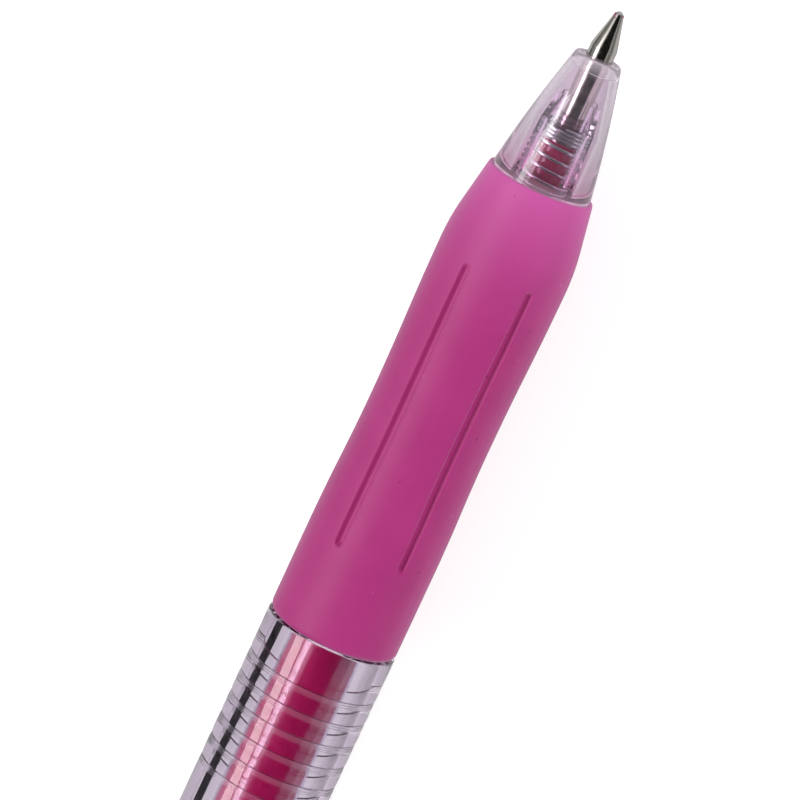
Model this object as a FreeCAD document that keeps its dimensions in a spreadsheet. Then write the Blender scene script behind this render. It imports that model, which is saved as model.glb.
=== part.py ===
import FreeCAD, Part
import math
import os
import re
import Sketcher

# A retractable gel pen that lies on a table with its writing point out. It rests on its
# barrel and on one long edge of its clip.
#
# Every sub-part is drawn in the pen's own frame, in millimetres: x runs along the pen's
# axis from the apex of the writing ball to the push button, y is across the clip and z
# points from the axis to the clip. lying() then puts it into the row frame, where +X still
# runs from the writing point to the button and z = 0 is the table.

SIZES = [
    # fits
    ("fit_gap", 0.02, "radial gap of pieces pressed or glued together"),
    ("run_gap", 0.1, "radial gap of pieces that slide or turn in each other"),
    ("face_gap", 0.05, "gap between faces of pieces that move against each other"),
    # refill
    ("ball_radius", 0.35, "writing ball"),
    ("ball_proud", 0.2, "how far the ball stands out of its rim"),
    ("rim_radius", 0.4, "outside of the rim round the ball"),
    ("cone_length", 3.0, "rim to the shoulder of the metal point"),
    ("point_radius", 1.15, "metal point behind its cone"),
    ("point_length", 9.2, "rim to the plastic holder"),
    ("shank_length", 2.5, "stretch of the metal point inside the holder"),
    ("seat_depth", 0.1, "round part of the ball's seat behind its middle"),
    ("seat_taper", 0.4, "taper of the seat down to the ink channel"),
    ("channel_radius", 0.22, "ink channel behind the ball"),
    ("channel_length", 1.2, "ink channel behind the ball"),
    ("point_bore", 0.6, "ink bore of the metal point"),
    ("holder_bore", 0.95, "ink bore of the holder"),
    ("holder_radius", 1.55, "front of the holder, inside the spring"),
    ("holder_ring_radius", 1.35, "fine groove round the holder's front"),
    ("holder_ring_width", 0.25, "fine groove round the holder's front"),
    ("holder_neck_length", 7.5, "holder's front face to the spring's seat"),
    ("collar_seat_radius", 2.6, "shoulder of the holder behind the spring"),
    ("collar_seat_length", 4.6, "shoulder of the holder behind the spring"),
    ("holder_plug_length", 4.5, "stretch of the holder inside the ink tube"),
    ("tube_radius", 3.0, "outside of the ink tube"),
    ("tube_wall", 0.5, "wall of the ink tube"),
    ("refill_length", 111.0, "ball's apex to the refill's rear face"),
    ("follower_length", 5.0, "grease that follows the ink"),
    ("empty_length", 12.8, "tube left empty behind the grease"),
    ("tail_flange", 1.2, "head of the refill's tail plug"),
    ("tail_stem_length", 4.0, "stem of the tail plug in the tube"),
    ("vent_radius", 0.6, "air vent of the tail plug"),
    # return spring
    ("spring_radius", 2.375, "outside of the return spring"),
    ("wire_radius", 0.15, "wire of the return spring"),
    ("closed_pitch", 0.33, "pitch of the closed turns at each end"),
    ("closed_turns", 3.5, "closed turns at each end"),
    ("open_turns", 4.0, "open turns between them"),
    # nose cone
    ("point_out", 4.2, "how far the ball stands ahead of the nose when it is out"),
    ("nose_front_radius", 2.0, "flat front face of the nose"),
    ("nose_lip", 0.35, "rounding of the nose's front edge"),
    ("nose_rear_radius", 4.35, "nose where it meets the grip"),
    ("nose_length", 11.35, "nose ahead of the grip"),
    ("nose_curve", 110.0, "radius of the nose's slightly full outline"),
    ("nose_land", 1.2, "close hole round the metal point"),
    ("cavity_front", 1.5, "radius of the cavity behind the close hole"),
    ("cavity_middle", 2.7, "radius of the cavity at the spring's front end"),
    ("spigot_bore", 2.8, "bore of the nose's spigot"),
    ("spigot_wall", 0.75, "wall of the nose's spigot"),
    ("spigot_length", 4.25, "nose's spigot inside the barrel's neck"),
    ("spring_depth", 6.0, "nose's front face to the spring"),
    ("nose_ribs", 4, "ribs inside the nose"),
    ("nose_rib_width", 0.5, "ribs inside the nose"),
    ("nose_rib_lead", 2.3, "rib ahead of the spring"),
    ("nose_rib_tail", 4.6, "rib beside the spring"),
    ("nose_rib_root", 0.2, "how deep the ribs reach into the nose's wall"),
    ("nose_turn", 45.0, "turn of the ribs from straight up"),
    # grip sleeve
    ("grip_length", 42.0, "grip sleeve"),
    ("grip_front_radius", 4.62, "front rim of the grip"),
    ("flare_radius", 5.36, "grip at the end of its straight flare"),
    ("flare_length", 4.25, "front rim to the end of the straight flare"),
    ("crest_radius", 5.63, "full part behind the grip's flare"),
    ("crest_place", 7.6, "front rim to the crest"),
    ("waist_radius", 5.43, "narrowest part of the grip's middle"),
    ("waist_place", 22.0, "front rim to the waist"),
    ("swell_radius", 5.65, "full rear part of the grip"),
    ("swell_place", 34.0, "front rim to the full rear part"),
    ("grip_edge", 0.9, "rounding of the grip's rear edge"),
    ("groove_count", 6, "long grooves round the grip"),
    ("groove_place", 9.05, "front rim to the grooves"),
    ("groove_length", 26.1, "long grooves"),
    ("groove_width", 1.0, "long grooves in their middle"),
    ("groove_tip_width", 0.35, "long grooves at their ends"),
    ("groove_floor", 4.95, "floor of the grooves from the pen's axis"),
    ("groove_turn", 30.0, "turn of the first groove from straight up"),
    # barrel
    ("barrel_radius", 5.7, "clear barrel"),
    ("straight_clear", 2.5, "barrel's straight stretch ends ahead of the clip"),
    ("barrel_bore", 3.2, "bore along the refill"),
    ("neck_radius", 4.2, "neck under the grip"),
    ("rear_bore", 4.5, "bore round the click mechanism"),
    ("rear_bore_length", 11.0, "rear bore ahead of the clip housing"),
    ("bore_taper", 2.0, "step between the two bores"),
    ("joint_length", 6.0, "barrel's spigot inside the clip housing"),
    ("joint_wall", 0.45, "wall of that spigot"),
    ("ring_count", 6, "rings round the barrel behind the grip"),
    ("ring_place", 2.75, "grip to the first ring"),
    ("ring_pitch", 2.0, "ring to ring"),
    ("ring_width", 0.9, "each ring"),
    ("ring_depth", 0.13, "step of each ring"),
    # click mechanism
    ("click_travel", 5.0, "stroke between point out and point in"),
    ("press_travel", 1.2, "stroke beyond the latched place"),
    ("sleeve_lead", 0.5, "cam sleeve ahead of the clip housing"),
    ("sleeve_flange", 1.0, "flange held between barrel and housing"),
    ("stop_over", 0.45, "way of the plunger's ribs past the click, to their stop"),
    ("sleeve_stop", 0.9, "ring that keeps the plunger in"),
    ("cam_bore", 3.75, "slots of the cam sleeve from the pen's axis"),
    ("rotor_radius", 3.0, "rotor and plunger"),
    ("slot_half_angle", 37.5, "half of a slot's width"),
    ("cam_count", 3, "slots, rotor ribs and guide ribs"),
    ("ledge_place", 2.7, "sleeve's front face to the ledges that hold the rotor"),
    ("catch_start", 0.72, "ledge's middle to the foot of its slope"),
    ("catch_end", 1.6, "ledge's middle to the top of its slope"),
    ("catch_slope", 1.6, "rise of the slope for each millimetre round"),
    ("catch_height", 3.55, "top of the slope's cut from the pen's axis"),
    ("cam_rib_width", 1.1, "ribs of rotor and plunger"),
    ("rotor_rib_length", 2.0, "ribs of the rotor"),
    ("rotor_turn", 25.0, "turn of the rotor's ribs from the ledge's middle"),
    ("guide_rib_length", 1.9, "ribs of the plunger"),
    ("rotor_length", 5.05, "rotor, to its crown"),
    ("crest_lead", 0.9, "rotor's crown behind the ledges"),
    ("crown_count", 6, "notches of both crowns"),
    ("crown_depth", 0.6, "notches of both crowns"),
    ("crown_half_width", 0.6, "notches of both crowns"),
    ("post_radius", 2.2, "post of the rotor inside the plunger"),
    ("post_length", 4.0, "post of the rotor"),
    ("post_tip", 0.6, "cone at the post's end"),
    ("plunger_length", 21.5, "plunger"),
    # push button
    ("button_radius", 3.85, "push button"),
    ("button_out", 7.0, "button outside the housing with the point out"),
    ("button_edge", 0.9, "rounding of the button's end"),
    ("insert_radius", 2.6, "coloured disc in the button's end"),
    ("insert_depth", 1.4, "coloured disc in the button's end"),
    ("insert_dome", 0.3, "rise of the disc's middle"),
    # clip housing
    ("housing_length", 22.0, "clip housing behind the barrel"),
    ("housing_radius", 5.5, "clip housing and the barrel's rear end"),
    ("housing_end_radius", 4.9, "rear face of the housing"),
    ("housing_taper", 5.0, "rounded rear stretch of the housing"),
    ("housing_edge", 0.5, "rounding of the housing's rear edge"),
    ("socket_length", 7.0, "socket for the barrel's spigot and the sleeve's flange"),
    ("pivot_place", 10.0, "housing's front face to the clip's pin"),
    ("pivot_height", 7.2, "clip's pin from the pen's axis"),
    ("lug_width", 2.4, "lug that carries the pin"),
    ("lug_half_length", 1.0, "lug along the pen"),
    ("lug_root", 5.2, "foot of the lug from the pen's axis"),
    ("spring_well_radius", 1.4, "well of the clip's spring"),
    ("spring_well_floor", 5.0, "floor of the well from the pen's axis"),
    ("spring_well_place", 4.2, "clip's pin to its spring"),
    # clip
    ("pin_radius", 0.6, "clip's pin"),
    ("clip_half_width", 2.1, "clip"),
    ("clip_top", 9.1, "clip's outer face from the pen's axis"),
    ("clip_thickness", 0.85, "clip's plate"),
    ("clip_tail", 6.5, "pin to the clip's rear edge"),
    ("clip_arm", 34.5, "pin to the clip's front edge"),
    ("clip_bend", 8.0, "pin to the start of the sloping arm"),
    ("clip_nose_top", 7.4, "outer face of the clip's front end"),
    ("clip_nose_slope", 0.7, "slant of the clip's front face"),
    ("foot_lead", 1.2, "clip's front edge to its foot"),
    ("foot_length", 2.2, "foot of the clip on the barrel"),
    ("foot_slope", 1.6, "slant behind the foot"),
    ("clip_edge", 0.3, "rounding of the clip's long edges"),
    ("cheek_half_length", 2.6, "cheeks beside the lug"),
    ("cheek_round", 1.3, "round end of the cheeks"),
    ("cheek_gap", 0.1, "cheeks to the lug"),
    ("cheek_wall", 0.8, "each cheek"),
    ("nub_radius", 0.65, "nub inside the clip's spring"),
    ("nub_length", 0.7, "nub inside the clip's spring"),
    ("clip_spring_radius", 1.1, "outside of the clip's spring"),
    ("clip_wire_radius", 0.15, "wire of the clip's spring"),
    ("clip_spring_turns", 5.0, "turns of the clip's spring"),
]

# Places along the pen, and a few radii, worked out from the sizes.
PLACES = [
    ("ball_rim", "ball_proud"),
    ("point_shoulder", "ball_rim + cone_length"),
    ("holder_front", "ball_rim + point_length"),
    ("shank_rear", "holder_front + shank_length"),
    ("seat_shoulder", "ball_radius + seat_depth"),
    ("seat_rear", "seat_shoulder + seat_taper"),
    ("channel_rear", "seat_rear + channel_length"),
    ("spring_rear", "holder_front + holder_neck_length"),
    ("tube_front", "spring_rear + collar_seat_length"),
    ("holder_rear", "tube_front + holder_plug_length"),
    ("tube_bore", "tube_radius - tube_wall"),
    ("tube_rear", "refill_length - tail_flange"),
    ("ink_rear", "tube_rear - empty_length - follower_length"),
    ("nose_front", "point_out"),
    ("nose_rear", "nose_front + nose_length"),
    ("nose_hole", "point_radius + run_gap"),
    ("nose_spring", "nose_front + spring_depth"),
    ("cavity_slope", "(cavity_middle - cavity_front) / (spring_depth - nose_land)"),
    ("spigot_radius", "spigot_bore + spigot_wall"),
    ("neck_bore", "spigot_radius + fit_gap"),
    ("grip_rear", "nose_rear + grip_length"),
    ("grip_bore", "neck_radius + fit_gap"),
    ("rotor_front", "refill_length + face_gap"),
    ("rotor_crest", "rotor_front + rotor_length"),
    ("ledge", "rotor_crest - crest_lead"),
    ("sleeve_front", "ledge - ledge_place"),
    ("barrel_rear", "sleeve_front + sleeve_lead"),
    ("joint_radius", "rear_bore + joint_wall"),
    ("joint_rear", "barrel_rear + joint_length"),
    ("housing_rear", "barrel_rear + housing_length"),
    ("cam_rib_radius", "cam_bore - run_gap"),
    ("spline_bore", "rotor_radius + run_gap"),
    ("plunger_front", "rotor_crest + face_gap"),
    ("plunger_bore", "post_radius + run_gap"),
    ("plunger_rear", "plunger_front + plunger_length"),
    ("guide_front", "plunger_front + crown_depth"),
    ("stop_front", "guide_front + guide_rib_length + click_travel + stop_over"),
    ("sleeve_rear", "stop_front + sleeve_stop"),
    ("button_bore", "rotor_radius + fit_gap"),
    ("button_hole", "button_radius + run_gap"),
    ("button_stop", "sleeve_rear + face_gap"),
    ("button_front", "button_stop + press_travel + run_gap"),
    ("button_rear", "housing_rear + button_out"),
    ("insert_floor", "button_rear - insert_depth"),
    ("pivot", "barrel_rear + pivot_place"),
    ("cheek_outside", "lug_width / 2 + cheek_gap + cheek_wall"),
    ("clip_under", "clip_top - clip_thickness"),
    ("clip_front", "pivot - clip_arm"),
    ("straight_rear", "clip_front - straight_clear"),
    ("clip_rear", "pivot + clip_tail"),
    ("clip_elbow", "pivot - clip_bend"),
    ("foot_front", "clip_front + foot_lead"),
    ("barrel_slope", "(barrel_radius - housing_radius) / (barrel_rear - straight_rear)"),
    ("clip_foot", "barrel_radius - barrel_slope * (foot_front - straight_rear) + face_gap"),
    ("foot_rear", "foot_front + foot_length"),
    ("well", "pivot + spring_well_place"),
]

# How a stretch of an outline reaches its station: straight unless it says otherwise.
SWELL = "swell"  # an S of two arcs that starts and ends along the pen's axis
RADIUS = "radius"  # an arc of the named radius, full to the left of the way it runs
ABOUT = "about"  # an arc about a named centre
COIL_POINTS_PER_TURN = 16

doc = FreeCAD.newDocument("gel_pen")
sheets = {}


def fill_sheet(name, rows):
    """Writes one spreadsheet row for each (alias, content, note)."""
    sheet = doc.addObject("Spreadsheet::Sheet", name)
    for number, (alias, content, note) in enumerate(rows, start=1):
        sheet.set(f"A{number}", note)
        sheet.set(f"B{number}", content)
        sheet.setAlias(f"B{number}", alias)
        sheets[alias] = name


def in_sheets(formula):
    """The formula with each word of a sheet preceded by that sheet's name."""

    def with_sheet(word):
        return f"{sheets[word[0]]}.{word[0]}" if word[0] in sheets else word[0]

    return re.sub(r"[a-z_]+", with_sheet, formula)


fill_sheet("Sizes", [(alias, str(size), note) for alias, size, note in SIZES])
for alias, _ in PLACES:
    sheets[alias] = "Places"
fill_sheet("Places", [(alias, "=" + in_sheets(formula), formula) for alias, formula in PLACES])
doc.recompute()


def value(formula):
    """What a formula comes to."""
    return float(doc.Places.evalExpression(in_sheets(formula)))


def bind(item, property_name, formula):
    """Ties a property to a formula of the sheets' words."""
    item.setExpression(property_name, in_sheets(formula))


# ---------------------------------------------------------------- sketches and features


def new_body(name):
    """An empty body named after its sub-part."""
    body = doc.addObject("PartDesign::Body", name)
    body.Label = name
    return body


def origin_feature(body, role):
    """A plane or an axis of the body's own origin."""
    return next(item for item in body.Origin.OriginFeatures if item.Role == role)


def new_sketch(body, name, plane, offset="0"):
    """An empty sketch on a plane of the body's origin, moved along the plane's normal."""
    sketch = body.newObject("Sketcher::SketchObject", f"{body.Name}_{name}")
    sketch.AttachmentSupport = [(origin_feature(body, plane), "")]
    sketch.MapMode = "FlatFace"
    bind(sketch, "AttachmentOffset.Base.z", offset)
    return sketch


def place_point(sketch, edge, corner, across, along):
    """Ties a point of an edge to two formulas."""
    for kind, formula in (("DistanceX", across), ("DistanceY", along)):
        number = sketch.addConstraint(Sketcher.Constraint(kind, -1, 1, edge, corner, value(formula)))
        bind(sketch, f"Constraints[{number}]", formula)


def add_line(sketch, start, end):
    """A straight edge. Returns (edge, its corner at the start, its corner at the end)."""
    points = [FreeCAD.Vector(value(x), value(y), 0) for x, y in (start, end)]
    return sketch.addGeometry(Part.LineSegment(*points), False), 1, 2


def add_arc(sketch, start, end, centre):
    """The shorter arc about a centre, or the clockwise one where both are half circles."""
    start, end, centre = (FreeCAD.Vector(x, y, 0) for x, y in (start, end, centre))
    turns_left = (start - centre).cross(end - centre).z > 1e-9
    first, last = (start, end) if turns_left else (end, start)
    angles = [math.atan2(point.y - centre.y, point.x - centre.x) for point in (first, last)]
    circle = Part.Circle(centre, FreeCAD.Vector(0, 0, 1), (start - centre).Length)
    edge = sketch.addGeometry(Part.ArcOfCircle(circle, *angles), False)
    return (edge, 1, 2) if turns_left else (edge, 2, 1)


def add_centred_arc(sketch, start, end, centre_x, centre_y=None):
    """An arc whose centre is tied to a formula across, or along where its ends lie level."""
    (x1, y1), (x2, y2) = ((value(x), value(y)) for x, y in (start, end))
    cx = value(centre_x)
    level = abs(y1 - y2) < 1e-9
    cy = value(centre_y) if level else ((x1 - cx) ** 2 - (x2 - cx) ** 2 + y1**2 - y2**2) / (2 * (y1 - y2))
    stretch = add_arc(sketch, (x1, y1), (x2, y2), (cx, cy))
    kind, formula, at = ("DistanceY", centre_y, cy) if level else ("DistanceX", centre_x, cx)
    number = sketch.addConstraint(Sketcher.Constraint(kind, -1, 1, stretch[0], 3, at))
    bind(sketch, f"Constraints[{number}]", formula)
    return stretch


def add_round_arc(sketch, start, end, radius):
    """An arc of a given radius, full to the left of the way it runs."""
    (x1, y1), (x2, y2) = ((value(x), value(y)) for x, y in (start, end))
    chord = math.hypot(x2 - x1, y2 - y1)
    back = math.sqrt(value(radius) ** 2 - chord**2 / 4)
    centre = ((x1 + x2) / 2 + back * (y2 - y1) / chord, (y1 + y2) / 2 - back * (x2 - x1) / chord)
    stretch = add_arc(sketch, (x1, y1), (x2, y2), centre)
    number = sketch.addConstraint(Sketcher.Constraint("Radius", stretch[0], value(radius)))
    bind(sketch, f"Constraints[{number}]", radius)
    return stretch


def draw_outline(sketch, stations):
    """A closed outline through stations (across, along[, kind, ...]).

    The kind says how the stretch that ends at the station runs; the first station's says how
    the outline closes.
    """
    stretches = []
    for number, station in enumerate(stations):
        start, end = stations[number - 1][:2], station[:2]
        kind = station[2] if len(station) > 2 else None
        if kind == SWELL:
            middle = (f"({start[0]} + {end[0]}) / 2", f"({start[1]} + {end[1]}) / 2")
            stretches.append((add_centred_arc(sketch, start, middle, start[0]), start))
            stretches.append((add_centred_arc(sketch, middle, end, end[0]), middle))
        elif kind == ABOUT:
            stretches.append((add_centred_arc(sketch, start, end, station[3], station[4]), start))
        elif kind == RADIUS:
            stretches.append((add_round_arc(sketch, start, end, station[3]), start))
        else:
            stretches.append((add_line(sketch, start, end), start))
    for number, ((edge, first, _), corner) in enumerate(stretches):
        before, _, last = stretches[number - 1][0]
        sketch.addConstraint(Sketcher.Constraint("Coincident", before, last, edge, first))
        place_point(sketch, edge, first, *corner)
    return sketch


def draw_circle(sketch, across, along, radius):
    """A circle tied to its centre and radius."""
    centre = FreeCAD.Vector(value(across), value(along), 0)
    edge = sketch.addGeometry(Part.Circle(centre, FreeCAD.Vector(0, 0, 1), value(radius)), False)
    place_point(sketch, edge, 3, across, along)
    number = sketch.addConstraint(Sketcher.Constraint("Radius", edge, value(radius)))
    bind(sketch, f"Constraints[{number}]", radius)
    return sketch


def revolve(body, stations, name="outline", kind="Revolution"):
    """Turns an outline, drawn along and away from the pen's axis, about that axis."""
    sketch = draw_outline(new_sketch(body, name, "XY_Plane"), stations)
    turned = body.newObject(f"PartDesign::{kind}", f"{body.Name}_{name}_{kind.lower()}")
    turned.Profile = sketch
    turned.ReferenceAxis = (sketch, ["H_Axis"])
    turned.Angle = 360
    return turned


def pad(body, sketch, length, both_ways=False):
    """Adds a sketch's shape, along its normal or to both sides of its plane."""
    added = body.newObject("PartDesign::Pad", f"{sketch.Name}_pad")
    added.Profile = sketch
    bind(added, "Length", length)
    added.Midplane = both_ways
    return added


def pocket(body, sketch, length, both_ways=False, upward=False):
    """Cuts a sketch's shape, against its normal, along it or to both sides of its plane."""
    cut = body.newObject("PartDesign::Pocket", f"{sketch.Name}_pocket")
    cut.Profile = sketch
    bind(cut, "Length", length)
    cut.Midplane = both_ways
    cut.Reversed = upward
    return cut


def repeat_round(body, feature, count):
    """Repeats a feature round the pen's axis."""
    pattern = body.newObject("PartDesign::PolarPattern", f"{feature.Name}_round")
    pattern.Originals = [feature]
    pattern.Axis = (origin_feature(body, "X_Axis"), [""])
    pattern.Angle = 360
    bind(pattern, "Occurrences", count)
    body.Tip = pattern
    return pattern


def ring_edges(shape, place, radius):
    """Names of the circular edges about the pen's axis at a place and a radius."""
    return [
        f"Edge{number}"
        for number, edge in enumerate(shape.Edges, start=1)
        if isinstance(edge.Curve, Part.Circle)
        and abs(edge.Curve.Center.x - value(place)) < 1e-5
        and abs(edge.Curve.Radius - value(radius)) < 1e-5
    ]


def fillet(body, name, edges, radius):
    """Rounds edges of the body's tip."""
    base = body.Tip
    rounded = body.newObject("PartDesign::Fillet", f"{body.Name}_{name}")
    rounded.Base = (base, edges)
    bind(rounded, "Radius", radius)
    body.Tip = rounded
    return rounded


def round_ring(body, name, place, radius, rounding):
    """Rounds the ring-shaped edge at a place and a radius."""
    doc.recompute()
    return fillet(body, name, ring_edges(body.Tip.Shape, place, radius), rounding)


def coil(name, mean_radius, wire_radius, stretches):
    """A wire coil that winds up from z = 0, made of stretches (pitch, turns)."""
    points = []
    reach = 0.0
    turned = 0.0
    for pitch, turns in stretches:
        steps = round(turns * COIL_POINTS_PER_TURN)
        for step in range(steps):
            share = turns * step / steps
            angle = 2 * math.pi * (turned + share)
            x, y = mean_radius * math.cos(angle), mean_radius * math.sin(angle)
            points.append(FreeCAD.Vector(x, y, reach + pitch * share))
        reach += pitch * turns
        turned += turns
    angle = 2 * math.pi * turned
    x, y = mean_radius * math.cos(angle), mean_radius * math.sin(angle)
    points.append(FreeCAD.Vector(x, y, reach))
    path = Part.BSplineCurve()
    path.interpolate(points)
    first_pitch = stretches[0][0]
    along_wire = FreeCAD.Vector(0, 2 * math.pi * mean_radius, first_pitch)
    section = Part.Wire([Part.makeCircle(wire_radius, points[0], along_wire)])
    feature = doc.addObject("Part::Feature", name)
    feature.Label = name
    feature.Shape = Part.Wire([path.toShape()]).makePipeShell([section], True, True)
    return feature


# ---------------------------------------------------------------- where things lie


def resting_roll():
    """How far the clip turns from straight up before its edge meets the table."""
    across, out = value("clip_half_width"), value("clip_top")
    edge_reach = math.hypot(across, out)
    from_below = math.atan2(across, out) + math.acos(value("barrel_radius") / edge_reach)
    return 180 - math.degrees(from_below)


CLIP_ROLL = resting_roll()


def footprint_middle():
    """How far the middle of the pen's footprint lies from its axis, towards the clip."""
    roll = math.radians(CLIP_ROLL)
    clip_side = value("clip_top") * math.sin(roll) - value("clip_half_width") * math.cos(roll)
    return (clip_side - value("barrel_radius")) / 2


def lying(turn=CLIP_ROLL):
    """The pen's frame on the table, turned about its axis from straight up towards +Y."""
    place = FreeCAD.Vector(-value("button_rear") / 2, -footprint_middle(), value("barrel_radius"))
    return FreeCAD.Placement(place, FreeCAD.Rotation(FreeCAD.Vector(1, 0, 0), -turn))


# ---------------------------------------------------------------- refill


def writing_ball():
    ball = doc.addObject("Part::Sphere", "writing_ball")
    ball.Label = "writing_ball"
    bind(ball, "Radius", "ball_radius")
    ball.Placement = lying() * FreeCAD.Placement(
        FreeCAD.Vector(value("ball_radius"), 0, 0), FreeCAD.Rotation()
    )
    return ball


def tip_point():
    """The metal point: a cone and a cylinder, with the ball's seat and the ink's bore."""
    body = new_body("tip_point")
    seat = "ball_radius + fit_gap"
    shank = "holder_bore - fit_gap"
    revolve(
        body,
        [
            ("ball_rim", seat),
            ("ball_rim", "rim_radius"),
            ("point_shoulder", "point_radius"),
            ("holder_front", "point_radius"),
            ("holder_front", shank),
            ("shank_rear", shank),
            ("shank_rear", "point_bore"),
            ("channel_rear", "point_bore"),
            ("channel_rear", "channel_radius"),
            ("seat_rear", "channel_radius"),
            ("seat_shoulder", seat),
        ],
    )
    body.Placement = lying()
    return body


def tip_holder():
    """The plastic holder: a slim front for the spring, a shoulder, and a plug in the tube."""
    body = new_body("tip_holder")
    ring = "holder_front + 2 * holder_ring_width"
    revolve(
        body,
        [
            ("holder_front", "holder_bore"),
            ("holder_front", "holder_radius"),
            ("holder_front + holder_ring_width", "holder_radius"),
            ("holder_front + holder_ring_width", "holder_ring_radius"),
            (ring, "holder_ring_radius"),
            (ring, "holder_radius"),
            ("spring_rear", "holder_radius"),
            ("spring_rear", "collar_seat_radius"),
            ("tube_front", "collar_seat_radius"),
            ("tube_front", "tube_bore - fit_gap"),
            ("holder_rear", "tube_bore - fit_gap"),
            ("holder_rear", "holder_bore"),
        ],
    )
    body.Placement = lying()
    return body


def ink_tube():
    body = new_body("ink_tube")
    revolve(
        body,
        [
            ("tube_front", "tube_bore"),
            ("tube_front", "tube_radius"),
            ("tube_rear", "tube_radius"),
            ("tube_rear", "tube_bore"),
        ],
    )
    body.Placement = lying()
    return body


def ink_column():
    """The ink, from the ball's channel through the point and the holder into the tube."""
    body = new_body("ink_column")
    in_tube = "tube_bore - fit_gap"
    in_holder = "holder_bore - fit_gap"
    in_point = "point_bore - fit_gap"
    revolve(
        body,
        [
            ("channel_rear + fit_gap", "0"),
            ("channel_rear + fit_gap", in_point),
            ("shank_rear + fit_gap", in_point),
            ("shank_rear + fit_gap", in_holder),
            ("holder_rear + fit_gap", in_holder),
            ("holder_rear + fit_gap", in_tube),
            ("ink_rear", in_tube),
            ("ink_rear", "0"),
        ],
    )
    body.Placement = lying()
    return body


def ink_follower():
    body = new_body("ink_follower")
    radius = "tube_bore - fit_gap"
    rear = "ink_rear + follower_length"
    revolve(body, [("ink_rear", "0"), ("ink_rear", radius), (rear, radius), (rear, "0")])
    body.Placement = lying()
    return body


def refill_tail_plug():
    """The vented plug that the rotor pushes on."""
    body = new_body("refill_tail_plug")
    stem_front = "tube_rear - tail_stem_length"
    revolve(
        body,
        [
            (stem_front, "vent_radius"),
            (stem_front, "tube_bore - fit_gap"),
            ("tube_rear", "tube_bore - fit_gap"),
            ("tube_rear", "tube_radius"),
            ("refill_length", "tube_radius"),
            ("refill_length", "vent_radius"),
        ],
    )
    body.Placement = lying()
    return body


def return_spring():
    """The refill's spring, between the nose's ribs and the holder's shoulder."""
    wire = value("wire_radius")
    ends = value("closed_pitch") * value("closed_turns")
    room = value("spring_rear - nose_spring - 2 * fit_gap") - 2 * wire
    open_pitch = (room - 2 * ends) / value("open_turns")
    end = (value("closed_pitch"), value("closed_turns"))
    stretches = [end, (open_pitch, value("open_turns")), end]
    spring = coil("return_spring", value("spring_radius") - wire, wire, stretches)
    start = FreeCAD.Vector(value("nose_spring + fit_gap") + wire, 0, 0)
    along_pen = FreeCAD.Rotation(FreeCAD.Vector(0, 1, 0), 90)
    spring.Placement = lying() * FreeCAD.Placement(start, along_pen)
    return spring


# ---------------------------------------------------------------- casing


def nose_cone():
    """The clear nose: ribs inside it stop the spring and guide its coils."""
    body = new_body("nose_cone")
    land_rear = "nose_front + nose_land"
    spigot_rear = "nose_rear + spigot_length"
    revolve(
        body,
        [
            ("nose_front", "nose_hole"),
            ("nose_front", "nose_front_radius"),
            ("nose_rear", "nose_rear_radius", RADIUS, "nose_curve"),
            ("nose_rear", "spigot_radius"),
            (spigot_rear, "spigot_radius"),
            (spigot_rear, "spigot_bore"),
            ("nose_rear", "spigot_bore"),
            ("nose_spring", "cavity_middle"),
            (land_rear, "cavity_front"),
            (land_rear, "nose_hole"),
        ],
    )
    rib_front = "nose_spring - nose_rib_lead"
    rib_rear = "nose_spring + nose_rib_tail"
    beside_holder = "holder_radius + run_gap"
    beside_spring = "spring_radius + run_gap"
    in_wall = "cavity_middle + nose_rib_root"
    sketch = draw_outline(
        new_sketch(body, "rib", "XY_Plane"),
        [
            (rib_front, beside_holder),
            (rib_front, f"{in_wall} - cavity_slope * nose_rib_lead"),
            ("nose_spring", in_wall),
            (rib_rear, in_wall),
            (rib_rear, beside_spring),
            ("nose_spring", beside_spring),
            ("nose_spring", beside_holder),
        ],
    )
    rib = pad(body, sketch, "nose_rib_width", both_ways=True)
    repeat_round(body, rib, "nose_ribs")
    round_ring(body, "lip", "nose_front", "nose_front_radius", "nose_lip")
    body.Placement = lying(value("nose_turn"))
    return body


def grip_sleeve():
    """The soft grip: flared, waisted, with long lens-shaped grooves."""
    body = new_body("grip_sleeve")
    crest = "nose_rear + crest_place"
    revolve(
        body,
        [
            ("nose_rear", "grip_bore"),
            ("nose_rear", "grip_front_radius"),
            ("nose_rear + flare_length", "flare_radius"),
            (crest, "crest_radius", ABOUT, crest, "0"),
            ("nose_rear + waist_place", "waist_radius", SWELL),
            ("nose_rear + swell_place", "swell_radius", SWELL),
            ("grip_rear", "swell_radius"),
            ("grip_rear", "grip_bore"),
        ],
    )
    round_ring(body, "rear_edge", "grip_rear", "swell_radius", "grip_edge")
    front = "nose_rear + groove_place"
    rear = f"{front} + groove_length"
    narrow = "groove_tip_width / 2"
    bulge = "(groove_width - groove_tip_width) / 2"
    side = f"(groove_length^2 / 4 + ({bulge})^2) / (2 * {bulge})"
    sketch = draw_outline(
        new_sketch(body, "groove", "XY_Plane", "groove_floor"),
        [
            (front, narrow, ABOUT, front, "0"),
            (rear, narrow, RADIUS, side),
            (rear, f"-{narrow}", ABOUT, rear, "0"),
            (front, f"-{narrow}", RADIUS, side),
        ],
    )
    groove = pocket(body, sketch, "swell_radius", upward=True)
    repeat_round(body, groove, "groove_count")
    body.Placement = lying(value("groove_turn"))
    return body


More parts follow.
